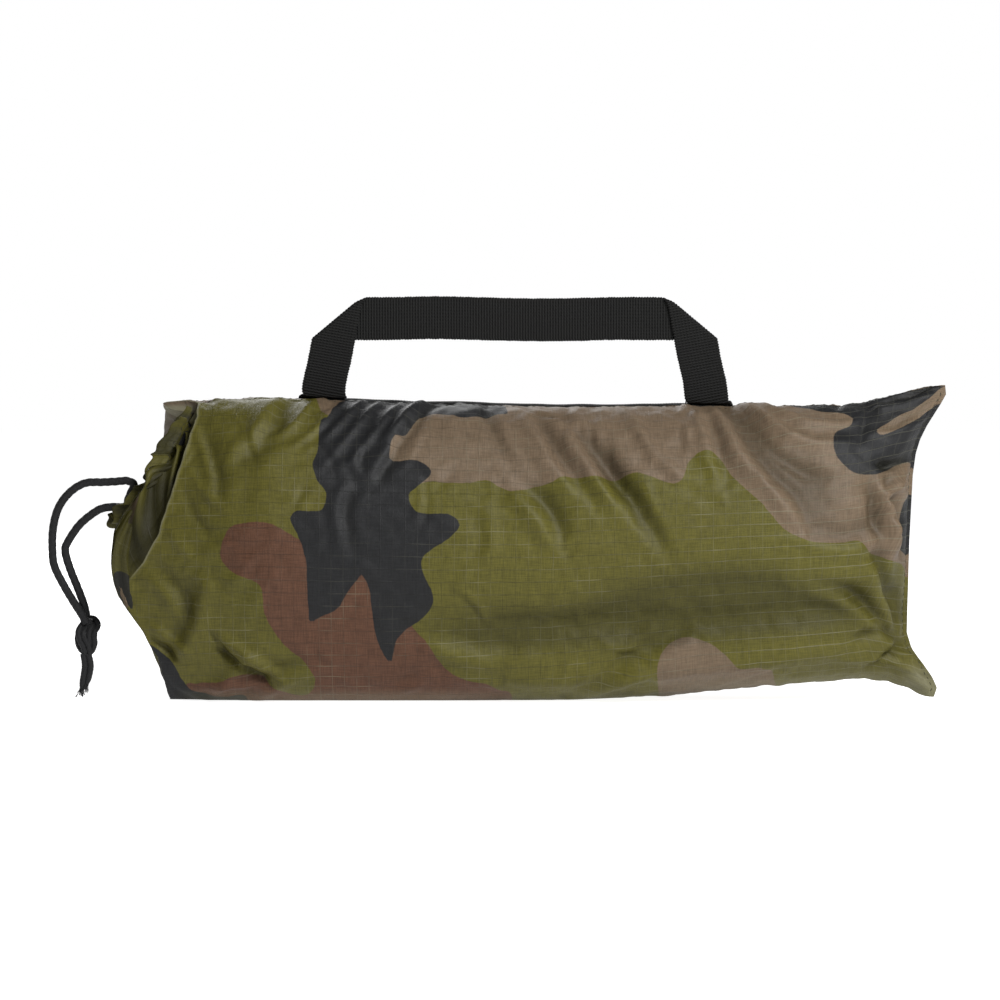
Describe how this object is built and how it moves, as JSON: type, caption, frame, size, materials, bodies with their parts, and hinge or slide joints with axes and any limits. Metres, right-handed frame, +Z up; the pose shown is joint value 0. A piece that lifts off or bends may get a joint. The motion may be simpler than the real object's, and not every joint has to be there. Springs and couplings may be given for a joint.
{
  "type": "packed bivy sack",
  "caption": "Packed bivy sack: a rolled bivy inside a camouflage drawstring carry sack with a flat webbing handle, a gathered corded mouth and a sewn end.",
  "frame": {"origin": "on the floor, in the flat patch that the sack stands on, under the middle of its length", "axes": "+X along the sack from the gathered mouth to the sewn end, +Z up towards the handle, -Y is the front face"},
  "size_m": [0.5211, 0.118, 0.233],
  "materials": {
    "camo_ripstop": "thin ripstop weave with a slight sheen",
    "black_webbing": "flat ribbed webbing",
    "black_cord": "round braided cord",
    "black_thread": "twisted sewing thread",
    "groundsheet_coated": "coated groundsheet cloth",
    "black_plastic": "moulded, fine grain",
    "spring_steel": "drawn wire",
    "zip_metal": "black enamelled die casting"
  },
  "bodies": {
    "sack": {"sack_cloth": "camo_ripstop", "mouth_hem": "camo_ripstop", "hem_stitches": "black_thread", "top_seam_stitches": "black_thread", "end_seam_stitches": "black_thread", "handle_left_foot": "black_webbing", "handle_right_foot": "black_webbing", "handle_seam_run": "black_webbing", "handle_bartacks": "black_thread", "cord_in_hem": "black_cord", "bivy_groundsheet": "groundsheet_coated", "bivy_top_sheet": "camo_ripstop", "roll_ties": "black_webbing", "hood_drawcord": "black_cord", "cord_lock_barrel": "black_plastic", "cord_lock_spring": "spring_steel", "zip_tapes": "black_webbing", "zip_coil": "black_plastic"},
    "handle": {"handle_webbing": "black_webbing"},
    "cord_root": {"cord_roots": "black_cord"},
    "cord_bend": {"cord_upper_bend": "black_cord", "cord_lower_bend": "black_cord"},
    "cord_drop": {"cord_upper_drop": "black_cord", "cord_lower_drop": "black_cord"},
    "cord_end": {"cord_knot": "black_cord", "cord_tails": "black_cord"},
    "lock_button": {"cord_lock_plunger": "black_plastic"},
    "zip_slider": {"zip_slider": "zip_metal"},
    "zip_pull": {"zip_pull": "zip_metal"}
  },
  "joints": [
    {"name": "handle_flop", "type": "hinge", "parent": "sack", "child": "handle", "pos_m": [0, 0, 0.176], "axis": [1, 0, 0], "range_deg": [-85, 85]},
    {"name": "cord_pull", "type": "slide", "parent": "sack", "child": "cord_root", "axis": [-1, 0, 0], "range_m": [0, 0.012]},
    {"name": "cord_swing", "type": "hinge", "parent": "cord_root", "child": "cord_bend", "pos_m": [-0.2524, -0.01591, 0.12], "axis": [0, 0, 1], "range_deg": [-55, 60]},
    {"name": "cord_sway", "type": "hinge", "parent": "cord_bend", "child": "cord_drop", "pos_m": [-0.2784, -0.01501, 0.086], "axis": [1, 0, 0], "range_deg": [-50, 50]},
    {"name": "knot_swing", "type": "hinge", "parent": "cord_drop", "child": "cord_end", "pos_m": [-0.263, -0.01301, 0.047], "axis": [0, 1, 0], "range_deg": [-30, 55]},
    {"name": "cord_lock_press", "type": "slide", "parent": "sack", "child": "lock_button", "axis": [0, 0, -1], "range_m": [0, 0.004], "deforming": ["cord_lock_spring"]},
    {"name": "zip_slide", "type": "slide", "parent": "sack", "child": "zip_slider", "axis": [-1, 0, 0], "range_m": [0, 0.16], "deforming": ["zip_coil"]},
    {"name": "zip_pull_swing", "type": "hinge", "parent": "zip_slider", "child": "zip_pull", "pos_m": [0.141, 0, 0.0906], "axis": [0, 1, 0], "range_deg": [0, 170]}
  ]
}
